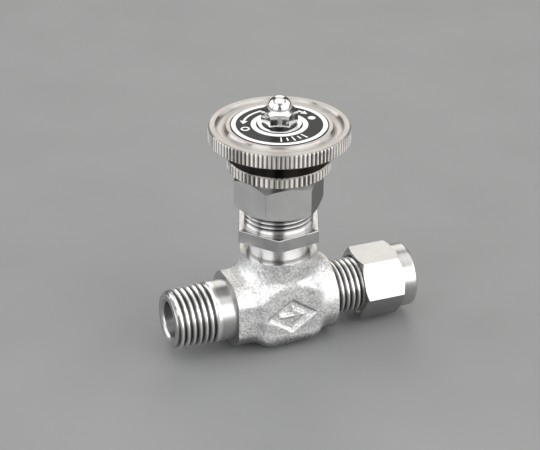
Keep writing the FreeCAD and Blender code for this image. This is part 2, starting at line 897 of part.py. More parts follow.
def make_tube_fitting():
    """Tube nut with its two ferrules."""
    corner = CORNER + " * tube_nut_flats"
    neck = "0.5 * tube_nut_flats - tube_nut_neck_gap"
    nut = turned(
        "tube_nut",
        [
            ("tube_nut_bore + bore_lead", "tube_nut_start"),
            ("0.5 * tube_nut_flats + 0.25", "tube_nut_start"),
            (corner, "tube_nut_start + tube_nut_bevel"),
            (corner, "tube_nut_hex_end - tube_nut_neck_bevel"),
            (neck, "tube_nut_hex_end"),
            (neck, "tube_nut_end"),
            ("tube_nut_hole", "tube_nut_end"),
            ("tube_nut_hole", "tube_nut_cavity_end"),
            ("tube_nut_cavity", "tube_nut_cavity_end"),
            ("tube_nut_cavity", "tube_nut_bore_end"),
            ("tube_nut_bore", "tube_nut_bore_end"),
            ("tube_nut_bore", "tube_nut_start + bore_lead"),
        ],
    )
    cut_flats(nut, "tube_nut_flats", 6, "tube_nut_start", "tube_nut_hex_end", TUBE_NUT_TURN)
    outer_edge = (0.5 * size("tube_nut_flats") - size("tube_nut_neck_gap"), size("tube_nut_end"))
    round_circles(nut, "collar_round", [outer_edge])
    turned(
        "front_ferrule",
        [
            ("ferrule_bore", "front_ferrule_start"),
            ("ferrule_bore + ferrule_nose", "front_ferrule_start"),
            ("cone_mouth_radius - ferrule_relief", "outlet_end"),
            ("ferrule_radius", "outlet_end + ferrule_shoulder"),
            ("ferrule_radius", "front_ferrule_end"),
            ("ferrule_bore", "front_ferrule_end"),
        ],
    )
    turned(
        "back_ferrule",
        [
            ("ferrule_bore", "back_ferrule_start"),
            ("ferrule_bore + ferrule_shoulder", "back_ferrule_start"),
            ("ferrule_radius", "back_ferrule_start + ferrule_heel"),
            ("ferrule_radius", "back_ferrule_end"),
            ("ferrule_bore", "back_ferrule_end"),
        ],
    )


make_valve_body()
make_bonnet()
ring(
    "bonnet_gasket",
    "back_seat_radius + 0.05",
    "bonnet_shank_radius",
    "ledge_height",
    "bonnet_bottom - 0.02",
)
make_packing()
make_gland_nut()
make_stem()
make_needle()
make_lock_ring()
make_handwheel()
make_top_stack()
make_tube_fitting()

FLOW_PIECES = ["tube_nut", "front_ferrule", "back_ferrule"]
STEM_PIECES = [
    "bonnet",
    "bonnet_gasket",
    "packing_base_washer",
    *["packing_ring_%d" % (number + 1) for number in range(PACKING_RINGS)],
    "gland_follower",
    "gland_nut",
    "stem",
    "needle_tip",
    "needle_retaining_ring",
    "lock_ring",
    "handwheel",
    "name_plate",
    "plain_washer",
    "spring_washer",
    "acorn_nut",
]
on_stem(*[doc.getObject(name) for name in STEM_PIECES])
along_flow(*[doc.getObject(name) for name in FLOW_PIECES])
doc.recompute()

for item in doc.Objects:
    if "Invalid" in item.State or "Error" in item.State:
        raise RuntimeError("%s: %s" % (item.Label, item.State))

shapes = {}
for name in ["valve_body"] + STEM_PIECES + FLOW_PIECES:
    shape = doc.getObject(name).Shape
    if shape.isNull() or not shape.isValid() or len(shape.Solids) != 1:
        raise RuntimeError("%s has a bad shape with %d solids" % (name, len(shape.Solids)))
    shapes[name] = shape

os.makedirs("parts", exist_ok=True)
for name, shape in shapes.items():
    shape.exportStep("parts/%s.step" % name)
    print("%-24s %9.2f mm3" % (name, shape.Volume))
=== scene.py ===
import math

import bmesh
import bpy
import numpy as np
from mathutils import Matrix, Vector


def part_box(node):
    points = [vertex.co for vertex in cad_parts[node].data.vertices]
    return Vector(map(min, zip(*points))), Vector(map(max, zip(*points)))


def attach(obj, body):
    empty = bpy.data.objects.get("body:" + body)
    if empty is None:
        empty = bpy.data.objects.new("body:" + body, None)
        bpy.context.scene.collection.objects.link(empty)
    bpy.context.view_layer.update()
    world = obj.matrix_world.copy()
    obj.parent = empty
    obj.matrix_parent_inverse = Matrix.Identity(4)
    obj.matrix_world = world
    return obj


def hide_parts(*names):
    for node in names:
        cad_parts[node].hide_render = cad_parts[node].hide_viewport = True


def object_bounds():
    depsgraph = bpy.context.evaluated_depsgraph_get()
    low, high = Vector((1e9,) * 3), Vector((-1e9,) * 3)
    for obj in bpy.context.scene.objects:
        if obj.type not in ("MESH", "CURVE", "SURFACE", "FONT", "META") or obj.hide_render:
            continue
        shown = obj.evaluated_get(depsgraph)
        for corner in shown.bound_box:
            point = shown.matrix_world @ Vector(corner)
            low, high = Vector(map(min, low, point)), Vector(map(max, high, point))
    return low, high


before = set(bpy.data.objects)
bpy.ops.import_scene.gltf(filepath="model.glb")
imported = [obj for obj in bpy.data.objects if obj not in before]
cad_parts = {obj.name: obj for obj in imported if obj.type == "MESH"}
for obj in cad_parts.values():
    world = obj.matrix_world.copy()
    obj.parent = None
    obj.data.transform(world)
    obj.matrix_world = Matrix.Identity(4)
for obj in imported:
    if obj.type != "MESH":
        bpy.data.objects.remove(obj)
cad_low, cad_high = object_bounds()

MM = 0.001

# places in the row frame, in metres
STEM_X = sum(corner.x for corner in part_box("bonnet")) / 2
STEM = Vector((STEM_X, 0.0, 0.0))
BODY_LOW, BODY_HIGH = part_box("valve_body")
FLOOR_Z = cad_low.z
PLATE_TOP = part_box("name_plate")[1].z


# ---------------------------------------------------------------- camera, lights, floor

CAMERA_AZIMUTH = math.radians(22.632)
CAMERA_ELEVATION = math.radians(27.625)
CAMERA_ROLL = math.radians(0.443)
CAMERA_DISTANCE = 458.366 * MM
CAMERA_AIM = STEM + Vector((1.157, 7.490, 14.061)) * MM
CAMERA_LENS = 140.61

VIEW_RIGHT = Vector((math.cos(CAMERA_AZIMUTH), -math.sin(CAMERA_AZIMUTH), 0.0))
VIEW_BACK = Vector((-math.sin(CAMERA_AZIMUTH), -math.cos(CAMERA_AZIMUTH), 0.0))
UP = Vector((0.0, 0.0, 1.0))


def make_camera():
    forward = -VIEW_BACK * math.cos(CAMERA_ELEVATION) - UP * math.sin(CAMERA_ELEVATION)
    up = VIEW_RIGHT.cross(forward)
    right = VIEW_RIGHT * math.cos(CAMERA_ROLL) + up * math.sin(CAMERA_ROLL)
    up = up * math.cos(CAMERA_ROLL) - VIEW_RIGHT * math.sin(CAMERA_ROLL)
    data = bpy.data.cameras.new("camera")
    data.lens = CAMERA_LENS
    data.clip_start = 0.01
    camera = bpy.data.objects.new("camera", data)
    turn = Matrix((right, up, -forward)).transposed().to_4x4()
    place = Matrix.Translation(CAMERA_AIM - forward * CAMERA_DISTANCE)
    camera.matrix_world = place @ turn
    bpy.context.scene.collection.objects.link(camera)
    bpy.context.scene.camera = camera


def softbox(name, azimuth, elevation, distance, width, height, radiance, color):
    """A rectangular light, in degrees and metres.

    Its azimuth is counted to the right from the camera's side.
    """
    turn = math.radians(azimuth)
    rise = math.radians(elevation)
    level = VIEW_BACK * math.cos(turn) + VIEW_RIGHT * math.sin(turn)
    direction = level * math.cos(rise) + UP * math.sin(rise)
    data = bpy.data.lights.new(name, "AREA")
    data.shape = "RECTANGLE"
    data.size = width
    data.size_y = height
    data.energy = radiance * math.pi * width * height
    data.color = color
    light = bpy.data.objects.new(name, data)
    light.location = STEM + UP * 12 * MM + direction * distance
    light.rotation_mode = "QUATERNION"
    light.rotation_quaternion = direction.to_track_quat("Z", "Y")
    light.visible_camera = False
    bpy.context.scene.collection.objects.link(light)


def make_lights():
    softbox("light_right", 56, 21, 0.70, 0.98, 0.60, 3.0, (1.0, 0.995, 0.985))
    softbox("light_left", -39, 21, 0.70, 0.50, 0.60, 2.8, (0.985, 0.995, 1.0))
    softbox("light_far_left", -100, 20, 0.75, 0.75, 0.50, 2.9, (0.98, 0.99, 1.0))
    softbox("light_far_right", 112, 24, 0.75, 0.50, 0.50, 1.7, (0.99, 0.99, 1.0))
    softbox("light_behind", 180, 31, 0.80, 0.50, 0.62, 1.7, (1.0, 0.965, 0.92))
    softbox("light_above", 0, 88, 0.75, 1.15, 0.85, 1.6, (1.0, 0.985, 0.965))
    world = bpy.data.worlds.new("studio")
    world.use_nodes = True
    background = world.node_tree.nodes["Background"]
    background.inputs["Color"].default_value = (0.045, 0.045, 0.046, 1.0)
    background.inputs["Strength"].default_value = 1.0
    bpy.context.scene.world = world


# ---------------------------------------------------------------- material building blocks

TILE = 1.0 / MM

# millimetres: a flat's distance beyond every piece, the knurls' depth, and how far under a rim's
# top edge the painted highlights on its crests and the painted shade in its grooves end
NO_FLATS = 99.0
KNURL_DEPTH = 0.27
KNURL_TOP_GAP = 0.25

# millimetres either side of where painted crest highlights and root shade start and end, over which
# they fade
CREST_START_FADE = 0.2
CREST_END_FADE = 0.4

# shares of a metal's own colour: the ends of its tone, which holds painted shade and painted
# highlights besides its marks; painted crest highlights; painted shade in thread roots and bores
DARK_TONE_AND_SHADE = 0.55
BRIGHT_TONE_AND_HIGHLIGHT = 1.45
CREST_HIGHLIGHT = 1.75
ROOT_SHADE = 0.16
BORE_SHADE = 0.14
UNDER_WHEEL_SHADE = (0.055, 0.046, 0.04, 1.0)

# millimetres inside the flats' distance where the marks start and finish fading
FLAT_FADE = (0.015, 0.005)


class Graph:
    """One material and short spellings for its nodes."""

    def __init__(self, name):
        self.material = bpy.data.materials.new(name)
        self.material.use_nodes = True
        self.tree = self.material.node_tree
        self.shader = self.tree.nodes["Principled BSDF"]
        self.point = self.node("ShaderNodeTexCoord").outputs["Object"]

    def node(self, kind, **settings):
        made = self.tree.nodes.new(kind)
        for key, value in settings.items():
            setattr(made, key, value)
        return made

    def feed(self, socket, value):
        """Sets a socket to a number or a colour, or links it to another node's output."""
        if isinstance(value, bpy.types.NodeSocket):
            self.tree.links.new(value, socket)
        else:
            socket.default_value = value

    def set(self, **values):
        for key, value in values.items():
            self.feed(self.shader.inputs[key.replace("_", " ")], value)

    def math(self, operation, first, second=0.0, clamp=False):
        made = self.node("ShaderNodeMath", operation=operation, use_clamp=clamp)
        self.feed(made.inputs[0], first)
        self.feed(made.inputs[1], second)
        return made.outputs[0]

    def vector(self, operation, first, second=(0.0, 0.0, 0.0)):
        made = self.node("ShaderNodeVectorMath", operation=operation)
        self.feed(made.inputs[0], first)
        self.feed(made.inputs[1], second)
        return made.outputs["Value" if operation in ("LENGTH", "DOT_PRODUCT") else "Vector"]

    def ramp(self, value, low, high, start=0.0, end=1.0):
        """A clamped straight line from (low, start) to (high, end)."""
        made = self.node("ShaderNodeMapRange", clamp=True)
        for socket, number in zip(made.inputs[:5], (value, low, high, start, end)):
            self.feed(socket, number)
        return made.outputs[0]

    def noise(self, vector, scale, detail=2.0, roughness=0.5, dimensions="3D"):
        made = self.node("ShaderNodeTexNoise", noise_dimensions=dimensions)
        self.feed(made.inputs["W" if dimensions == "1D" else "Vector"], vector)
        made.inputs["Scale"].default_value = scale
        made.inputs["Detail"].default_value = detail
        made.inputs["Roughness"].default_value = roughness
        return made.outputs["Fac"]

    def mix(self, factor, first, second):
        made = self.node("ShaderNodeMix", data_type="RGBA")
        self.feed(made.inputs["Factor"], factor)
        self.feed(made.inputs[6], first)
        self.feed(made.inputs[7], second)
        return made.outputs[2]

    def bump(self, height, distance, strength=1.0, normal=None):
        made = self.node("ShaderNodeBump")
        self.feed(made.inputs["Height"], height)
        made.inputs["Distance"].default_value = distance
        made.inputs["Strength"].default_value = strength
        if normal is not None:
            self.feed(made.inputs["Normal"], normal)
        return made.outputs["Normal"]

    def closeness(self, distance, inside=False):
        """One in the open, down to nought in a crevice, or along an edge if looked at from inside."""
        made = self.node("ShaderNodeAmbientOcclusion", samples=8, inside=inside, only_local=True)
        made.inputs["Distance"].default_value = distance
        return made.outputs["AO"]

    def upward(self):
        """One on a face that looks up, nought on an upright one, less than nought underneath."""
        parts = self.node("ShaderNodeSeparateXYZ")
        self.feed(parts.inputs[0], self.node("ShaderNodeNewGeometry").outputs["Normal"])
        return parts.outputs["Z"]

    def rounded_edges(self, radius):
        made = self.node("ShaderNodeBevel", samples=4)
        made.inputs["Radius"].default_value = radius
        return made.outputs["Normal"]


def rgb(value, warmth=0.0):
    """A grey, made warmer by a share of its red and cooler by a share of its blue."""
    return (value * (1 + warmth), value, value * (1 - warmth), 1.0)


def scaled(color, share):
    """A colour times a share, no brighter than white."""
    return tuple(min(1.0, share * value) for value in color[:3]) + (1.0,)


def crest_highlight_and_root_shade(g, base, color, along, radius, crests):
    """A base colour with painted highlights on the crests of each entry and painted shade in its
    roots.
    """
    for start, end, first, last, depth in crests:
        crest = g.ramp(along, start * MM, end * MM, first * MM, last * MM)
        sunk = g.math("DIVIDE", g.math("SUBTRACT", crest, radius), depth * MM)
        here = g.math(
            "MULTIPLY",
            g.ramp(along, (start - CREST_START_FADE) * MM, (start + CREST_START_FADE) * MM),
            g.ramp(along, (end - CREST_END_FADE) * MM, (end + CREST_END_FADE) * MM, 1.0, 0.0),
        )
        here = g.math("MULTIPLY", here, g.math("LESS_THAN", sunk, 1.3))
        # painted highlight on the crests and painted shade in the roots, by depth under the crest
        # line
        painted_highlight = g.math("MULTIPLY", g.ramp(sunk, 0.05, 0.3, 1.0, 0.0), here)
        painted_shade = g.math("MULTIPLY", g.ramp(sunk, 0.4, 0.85, 0.0, 0.85), here)
        base = g.mix(painted_highlight, base, scaled(color, CREST_HIGHLIGHT))
        base = g.mix(painted_shade, base, scaled(color, ROOT_SHADE))
    return base


def turned_steel(
    name,
    axis,
    color,
    roughness,
    anisotropy,
    marks=1.0,
    flats=NO_FLATS,
    crevice_shade=0.25,
    crests=(),
    bore=0.0,
    shaded_top=False,
):
    """Bright bar stock cut on a lathe: fine marks run round the axis, on walls and end faces.

    From the flats' distance outwards the marks fade, as they do on wrench flats. Walls nearer the
    axis than the bore's distance get painted shade. Each entry of crests is a thread, a knurl or a
    smooth neck: where it starts and ends along the axis, its crest radius at both, and its depth.
    The crests get painted highlights and the roots painted shade. Crevices get painted shade and
    convex edges painted highlights. The top flag paints the upper faces near black, as shade under
    the handwheel.
    """
    g = Graph(name)
    from_axis = g.vector("SUBTRACT", g.point, tuple(STEM) if axis == "Z" else (0.0, 0.0, 0.0))
    flat = g.vector("MULTIPLY", from_axis, (1.0, 1.0, 0.0) if axis == "Z" else (0.0, 1.0, 1.0))
    radius = g.vector("LENGTH", flat)
    parts = g.node("ShaderNodeSeparateXYZ")
    g.feed(parts.inputs[0], g.point)
    along = parts.outputs[axis]
    line = (0.0, 0.0, 1.0) if axis == "Z" else (1.0, 0.0, 0.0)
    around = g.vector("NORMALIZE", g.vector("CROSS_PRODUCT", line, flat))
    turned = g.node(
        "ShaderNodeVectorTransform", vector_type="VECTOR", convert_from="OBJECT", convert_to="WORLD"
    )
    g.feed(turned.inputs[0], around)

    path = g.math("ADD", radius, along)
    broad = g.noise(path, 1.1 * TILE, 2.0, 0.6, "1D")
    coarse = g.noise(path, 3.2 * TILE, 3.0, 0.7, "1D")
    fine = g.noise(path, 12.0 * TILE, 2.0, 0.6, "1D")
    cut = g.math("ADD", g.math("MULTIPLY", coarse, 0.7), g.math("MULTIPLY", fine, 0.3))
    cut = g.math("ADD", g.math("MULTIPLY", broad, 0.6), cut)
    fade = tuple((flats - reach) * MM for reach in FLAT_FADE)
    on_flats = g.ramp(radius, *fade, 1.0, 0.12)
    cut = g.math("MULTIPLY", cut, on_flats)
    cloud = g.noise(g.point, 0.22 * TILE, 3.0, 0.6)
    # painted shade: darker where the surface is hemmed in, in crevices and corners
    crevice = g.ramp(g.closeness(0.6 * MM), 0.2, 0.7, -crevice_shade * 2, 0.0)
    # painted highlight: brighter along convex edges
    edge = g.ramp(g.closeness(0.12 * MM, True), 0.55, 0.9, 0.3, 0.0)
    tone = g.math("ADD", g.ramp(cloud, 0.3, 0.7, -0.06, 0.06), g.math("ADD", crevice, edge))
    tone = g.math("ADD", tone, g.ramp(cut, 0.5, 1.2, -0.2, 0.2))
    # the tone runs between these ends, painted shade and painted highlights included
    tone_ends = (scaled(color, DARK_TONE_AND_SHADE), scaled(color, BRIGHT_TONE_AND_HIGHLIGHT))
    base = g.mix(g.math("ADD", tone, 0.5, True), *tone_ends)
    if bore:
        # painted shade on the walls inside the bore
        inside = g.ramp(radius, (bore - 0.1) * MM, (bore + 0.1) * MM, 0.85, 0.0)
        base = g.mix(inside, base, scaled(color, BORE_SHADE))
    base = crest_highlight_and_root_shade(g, base, color, along, radius, crests)
    # painted shade: upward faces painted near black, as shade under the handwheel
    if shaded_top:
        base = g.mix(g.ramp(g.upward(), 0.8, 0.95), base, UNDER_WHEEL_SHADE)
    g.set(Base_Color=base)
    on_flat = g.ramp(radius, *fade, 0.0, -0.12)
    cloudy = g.ramp(cloud, 0.3, 0.7, roughness - 0.04, roughness + 0.04)
    g.set(Roughness=g.math("ADD", cloudy, on_flat), Metallic=1.0)
    g.set(Anisotropic=anisotropy, Anisotropic_Rotation=0.25, Tangent=turned.outputs[0])
    g.set(Normal=g.bump(cut, 0.006 * MM, marks, g.rounded_edges(0.05 * MM)))
    return g.material


def knurl(node):
    """The knurled rim of a node, as an entry of crests that ends just under its top edge."""
    low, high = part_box(node)
    reach = (high.x - low.x) / 2 / MM
    return (low.z / MM, high.z / MM - KNURL_TOP_GAP, reach, reach, KNURL_DEPTH)


def forged_steel():
    """Shot-blasted forging: coarse bright grain over soft dents, painted shade underneath and in
    creases.
    """
    g = Graph("forged_steel_blasted")
    pits = g.noise(g.point, 2.1 * TILE, 4.0, 0.7)
    grain = g.noise(g.point, 5.0 * TILE, 2.0, 0.6)
    lumps = g.noise(g.point, 0.5 * TILE, 2.0, 0.5)
    cloud = g.noise(g.point, 0.12 * TILE, 3.0, 0.6)
    height = g.math("ADD", pits, g.math("MULTIPLY", lumps, 0.9))
    height = g.math("ADD", height, g.math("MULTIPLY", grain, 0.4))
    tone = g.math("ADD", g.ramp(pits, 0.3, 0.62, 0.12, 1.0), g.ramp(cloud, 0.3, 0.7, -0.1, 0.1))
    # painted shade: darker on faces that look down
    tone = g.math("ADD", tone, g.ramp(g.upward(), -0.6, -0.05, -0.55, 0.0))
    # painted shade: darker in creases and corners
    tone = g.math("ADD", tone, g.ramp(g.closeness(0.8 * MM), 0.3, 0.85, -0.5, 0.0), True)
    g.set(Base_Color=g.mix(tone, rgb(0.32, 0.003), rgb(0.95, 0.003)))
    shine = g.ramp(cloud, 0.3, 0.7, 0.33, 0.40)
    g.set(Roughness=g.math("ADD", shine, g.ramp(pits, 0.3, 0.7, 0.07, -0.07)), Metallic=1.0)
    g.set(Normal=g.bump(height, 0.17 * MM, 1.0))
    return g.material


def enamel():
    """Black stove enamel with a faint orange peel."""
    g = Graph("black_enamel")
    peel = g.noise(g.point, 1.8 * TILE, 2.0, 0.5)
    dust = g.noise(g.point, 9.0 * TILE, 2.0, 0.6)
    g.set(Base_Color=g.mix(g.ramp(dust, 0.5, 0.75), rgb(0.012), rgb(0.028)))
    g.set(Roughness=g.ramp(dust, 0.3, 0.7, 0.45, 0.58), Metallic=0.0, Specular_IOR_Level=0.25)
    g.set(Normal=g.bump(peel, 0.006 * MM, 0.6))
    return g.material


def white_print():
    """Screen-printed white on the plate, slightly uneven."""
    g = Graph("white_print")
    grain = g.noise(g.point, 6.0 * TILE, 3.0, 0.6)
    g.set(Base_Color=g.mix(grain, rgb(0.90, 0.003), rgb(0.98, 0.003)))
    g.set(Roughness=g.ramp(grain, 0.3, 0.7, 0.35, 0.5), Metallic=0.0)
    g.set(Normal=g.bump(grain, 0.004 * MM, 0.5))
    return g.material


def fluoropolymer(name, value):
    """Skived white PTFE, faintly waxy."""
    g = Graph(name)
    grain = g.noise(g.point, 3.0 * TILE, 3.0, 0.6)
    g.set(Base_Color=g.mix(grain, rgb(value * 0.9, 0.01), rgb(value, 0.01)))
    g.set(Roughness=g.ramp(grain, 0.3, 0.7, 0.35, 0.5), Metallic=0.0, Subsurface_Weight=0.1)
    g.set(Normal=g.bump(grain, 0.01 * MM, 0.5))
    return g.material


def floor_paper():
    g = Graph("floor_paper")
    tooth = g.noise(g.point, 0.9 * TILE, 4.0, 0.6)
    wave = g.noise(g.point, 0.04 * TILE, 3.0, 0.5)
    g.set(Base_Color=g.mix(g.ramp(wave, 0.3, 0.7), rgb(0.227, -0.012), rgb(0.241, -0.012)))
    g.set(Roughness=0.62, Metallic=0.0)
    g.set(Normal=g.bump(tooth, 0.05 * MM, 0.5))
    return g.material


def make_floor():
    half = 1.5
    corners = [(-half, -half, 0), (half, -half, 0), (half, half, 0), (-half, half, 0)]
    mesh = bpy.data.meshes.new("floor")
    mesh.from_pydata(corners, [], [(0, 1, 2, 3)])
    mesh.materials.append(floor_paper())
    floor = bpy.data.objects.new("floor", mesh)
    floor.location = (STEM_X, 0, FLOOR_Z)
    bpy.context.scene.collection.objects.link(floor)


def paint(node, material):
    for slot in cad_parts[node].material_slots:
        slot.material = material


def piece(name, mesh, material, body):
    """A new piece that rides on a body."""
    mesh.materials.append(material)
    made = bpy.data.objects.new(name, mesh)
    bpy.context.scene.collection.objects.link(made)
    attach(made, body)
    return made


# ---------------------------------------------------------------- the forging's skin
# Worked out in millimetres from the point where the stem axis crosses the flow axis.

ARM_LEFT_END = -12.0
ARM_RIGHT_END = 11.0
ARM_RADIUS = 8.35
ARM_FLATS = 15.0
BOSS_RADIUS = 8.27
BOSS_TOP = BODY_HIGH.z / MM
PAD_HALF_DEPTH = BODY_HIGH.y / MM
BODY_BOTTOM = BODY_LOW.z / MM
MARK_HALF = (5.0, 3.5)
MARK_DEPTH = 0.65
PAD_LEFT = -6.3
PAD_RIGHT = 6.5
PAD_TOP = 6.3
PAD_CORNER_ROUND = 3.0
FOOT_ROUND = 4.4
GRID = 0.2

# how far each crease or corner is rounded
ARM_FLAT_BLEND = 0.25
ARMS_BLEND = 0.8
BOSS_BLEND = 3.2
BLOCK_BLEND = 2.4
BLOCK_EDGE_BLEND = 1.6
FACE_EDGE_BLEND = 0.3
MARK_BLEND = 0.16

# how far the arms and boss run past the middle, and a height beyond the top of the block
OVERLAP = 3.0
FAR_ABOVE = 40.0

# how steep the mark's sides are, and how far from the machined ends the dents fade
MARK_SLOPE = 0.55
DENT_FADE = 2.0

# the die's dents: how many waves, the shortest, how much longer they get, and their height as a
# share of their length
DENT_WAVES = 28
DENT_SHORTEST = 2.2
DENT_SPREAD = 4.5
DENT_SHARE = 0.0022

# the bores' walls lie within these distances of the flow and stem axes, and the stem's bore is
# above this height
FLOW_BORE_REACH = 4.0
STEM_BORE_REACH = 6.1
STEM_BORE_FLOOR = -8.0


def smooth_union(first, second, reach):
    """The nearer of two distances, with the crease filled."""
    share = np.clip(0.5 + 0.5 * (second - first) / reach, 0, 1)
    return second + (first - second) * share - reach * share * (1 - share)


def smooth_cut(first, second, reach):
    """Where both distances are negative, with the crease rounded."""
    return -smooth_union(-first, -second, reach)


def rounded_rectangle(x, z, low, high, rounding):
    """Distance to a rectangle with rounded corners."""
    a = np.abs(x - (low[0] + high[0]) / 2) - (high[0] - low[0]) / 2 + rounding
    b = np.abs(z - (low[1] + high[1]) / 2) - (high[1] - low[1]) / 2 + rounding
    return np.minimum(np.maximum(a, b), 0) + np.hypot(np.maximum(a, 0), np.maximum(b, 0)) - rounding


def convex(x, z, corners):
    """Distance to a convex polygon whose corners run anticlockwise, right near its sides."""
    best = np.full(np.shape(x), -1e9)
    for (ax, az), (bx, bz) in zip(corners, corners[1:] + corners[:1]):
        length = math.hypot(bx - ax, bz - az)
        best = np.maximum(best, ((bz - az) * (x - ax) - (bx - ax) * (z - az)) / length)
    return best


def mark_outline(x, z):
    """The sunk part of the front mark: a diamond without the arrow in it."""
    wide, tall = MARK_HALF
    diamond = convex(x, z, [(wide, 0), (0, tall), (-wide, 0), (0, -tall)])
    head_half = 0.62 * tall
    head = convex(x, z, [(0.66 * wide, 0), (0, head_half), (0, -head_half)])
    shaft_half = 0.17 * tall
    start, end = 0.1 * wide, -0.6 * wide
    corners = [(start, -shaft_half), (start, shaft_half), (end, shaft_half), (end, -shaft_half)]
    shaft = convex(x, z, corners)
    arrow = np.minimum(head, shaft)
    return np.maximum(diamond, -arrow)


def dents(x, y, z):
    """Low, even lumps left by the forging die, in millimetres."""
    generator = np.random.default_rng(7)
    total = np.zeros(np.shape(x))
    for _ in range(DENT_WAVES):
        length = DENT_SHORTEST + DENT_SPREAD * generator.random()
        direction = generator.normal(size=3)
        direction *= 2 * math.pi / length / np.linalg.norm(direction)
        phase = generator.random() * 2 * math.pi
        total += length * np.sin(direction[0] * x + direction[1] * y + direction[2] * z + phase)
    return DENT_SHARE * total


def forging(x, y, z):
    """Signed distance, roughly, to the forging: negative inside."""
    around_flow = np.hypot(y, z)
    square = np.maximum(np.abs(y), np.abs(z)) - ARM_FLATS / 2
    left = smooth_cut(around_flow - ARM_RADIUS, square, ARM_FLAT_BLEND)
    left = np.maximum(left, x - OVERLAP)
    right = np.maximum(around_flow - ARM_RADIUS, -x - OVERLAP)
    boss = np.maximum(np.hypot(x, y) - BOSS_RADIUS, -z - OVERLAP)
    front = rounded_rectangle(x, z, (PAD_LEFT, BODY_BOTTOM), (PAD_RIGHT, PAD_TOP), PAD_CORNER_ROUND)
    side_low = (-PAD_HALF_DEPTH, BODY_BOTTOM)
    side_high = (PAD_HALF_DEPTH, BODY_BOTTOM + FAR_ABOVE)
    side = rounded_rectangle(y, z, side_low, side_high, FOOT_ROUND)
    block = smooth_cut(front, side, BLOCK_EDGE_BLEND)
    arms = smooth_union(left, right, ARMS_BLEND)
    shape = smooth_union(arms, boss, BOSS_BLEND)
    shape = smooth_union(shape, block, BLOCK_BLEND)
    fade = np.clip((x - ARM_LEFT_END) / DENT_FADE, 0, 1)
    fade = fade * np.clip((ARM_RIGHT_END - x) / DENT_FADE, 0, 1)
    fade = fade * np.clip((BOSS_TOP - z) / DENT_FADE, 0, 1)
    shape = shape + dents(x, y, z) * fade
    shape = smooth_cut(shape, np.abs(y) - PAD_HALF_DEPTH, FACE_EDGE_BLEND)
    shape = smooth_cut(shape, BODY_BOTTOM - z, FACE_EDGE_BLEND)
    above_floor = y + PAD_HALF_DEPTH - MARK_DEPTH
    sunk = np.maximum(mark_outline(x, z) + MARK_SLOPE * above_floor, above_floor)
    return smooth_cut(shape, -sunk, MARK_BLEND)


def surface_net(field, low, step):
    """Points and quads of a sampled field's zero level, one point for each mixed cell."""
    inside = field < 0
    cells = tuple(count - 1 for count in field.shape)
    total = np.zeros(cells + (3,))
    crossings = np.zeros(cells)

    def corner(offset):
        return tuple(slice(o, o + n) for o, n in zip(offset, cells))

    offsets = [(i, j, k) for i in (0, 1) for j in (0, 1) for k in (0, 1)]
    for start in offsets:
        for axis in range(3):
            if start[axis]:
                continue
            end = tuple(o + (a == axis) for a, o in enumerate(start))
            a, b = field[corner(start)], field[corner(end)]
            crossed = (a < 0) != (b < 0)
            share = np.where(crossed, a / np.where(crossed, a - b, 1), 0)
            for other in range(3):
                place = share if other == axis else start[other]
                total[..., other] += np.where(crossed, place, 0)
            crossings += crossed
    mixed = crossings > 0
    number = np.full(cells, -1)
    number[mixed] = np.arange(mixed.sum())
    base = np.argwhere(mixed)
    points = low + step * (base + total[mixed] / crossings[mixed][:, None])

    quads = []
    for axis in range(3):
        u, v = (axis + 1) % 3, (axis + 2) % 3
        first = [slice(None)] * 3
        second = [slice(None)] * 3
        first[axis], second[axis] = slice(0, -1), slice(1, None)
        flips = inside[tuple(first)] != inside[tuple(second)]
        found = np.argwhere(flips)
        found = found[(found[:, u] > 0) & (found[:, v] > 0)]
        found = found[(found[:, u] < cells[u]) & (found[:, v] < cells[v])]
        outward = inside[tuple(found.T)]
        ring = []
        for du, dv in ((1, 1), (0, 1), (0, 0), (1, 0)):
            cell = found.copy()
            cell[:, u] -= du
            cell[:, v] -= dv
            ring.append(number[tuple(cell.T)])
        ring = np.stack(ring, 1)
        quads.append(np.where(outward[:, None], ring, ring[:, ::-1]))
    return points, np.concatenate(quads)


def settled(points):
    """Moves the points onto the exact surface."""
    tiny = 0.01
    for _ in range(3):
        value = forging(*points.T)
        slope = np.stack(
            [
                (forging(*(points + tiny * axis).T) - forging(*(points - tiny * axis).T)) / (2 * tiny)
                for axis in np.eye(3)
            ],
            1,
        )
        reach = np.clip(value / np.maximum((slope**2).sum(1), 0.25), -0.5 * GRID, 0.5 * GRID)
        points = points - slope * reach[:, None]
    return points


def make_forging():
    """The rough skin between the machined ends, cut off square where they begin."""
    spare = 4 * GRID
    low = np.array([ARM_LEFT_END, -PAD_HALF_DEPTH, BODY_BOTTOM]) - spare
    high = np.array([ARM_RIGHT_END, PAD_HALF_DEPTH, BOSS_TOP]) + spare
    axes = [np.arange(a, b + GRID, GRID) for a, b in zip(low, high)]
    field = forging(*np.meshgrid(*axes, indexing="ij"))
    points, quads = surface_net(field, low, GRID)
    points = settled(points)
    points[:, 0] += STEM_X / MM

    mesh = bpy.data.meshes.new("body_forging")
    mesh.from_pydata((points * MM).tolist(), [], quads.tolist())
    work = bmesh.new()
    work.from_mesh(mesh)
    cuts = [
        ((STEM_X + ARM_LEFT_END * MM, 0, 0), (-1, 0, 0)),
        ((STEM_X + ARM_RIGHT_END * MM, 0, 0), (1, 0, 0)),
        ((0, 0, BODY_HIGH.z), (0, 0, 1)),
    ]
    for place, outward in cuts:
        bmesh.ops.bisect_plane(
            work,
            geom=work.verts[:] + work.edges[:] + work.faces[:],
            plane_co=place,
            plane_no=outward,
            clear_outer=True,
        )
    bmesh.ops.recalc_face_normals(work, faces=work.faces[:])
    work.to_mesh(mesh)
    work.free()
    mesh.shade_smooth()
    return mesh


